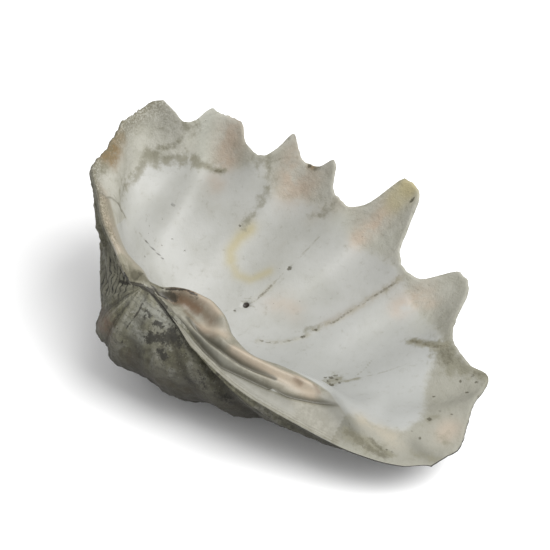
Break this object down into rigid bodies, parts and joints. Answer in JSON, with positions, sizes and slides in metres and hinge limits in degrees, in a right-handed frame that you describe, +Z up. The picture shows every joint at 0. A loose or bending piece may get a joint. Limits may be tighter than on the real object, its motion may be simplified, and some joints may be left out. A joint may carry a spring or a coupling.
{
  "type": "giant clam shell",
  "caption": "One half of a giant clam shell: a deep ribbed bowl with a wavy rim and a ridged hinge, lying open side up on its worn belly.",
  "frame": {"origin": "on the ground under the centre of the shell's overall box, which is the level of the worn flat on its belly", "axes": "+Z up out of the open side, +X along the long side towards the rear end of the hinge, +Y from the hinge side towards the wavy rim"},
  "size_m": [0.5176, 0.4562, 0.2469],
  "materials": {
    "weathered_shell": "chalky, dull, weathered natural shell"
  },
  "bodies": {
    "root": {"clam_valve": "weathered_shell"}
  },
  "joints": []
}
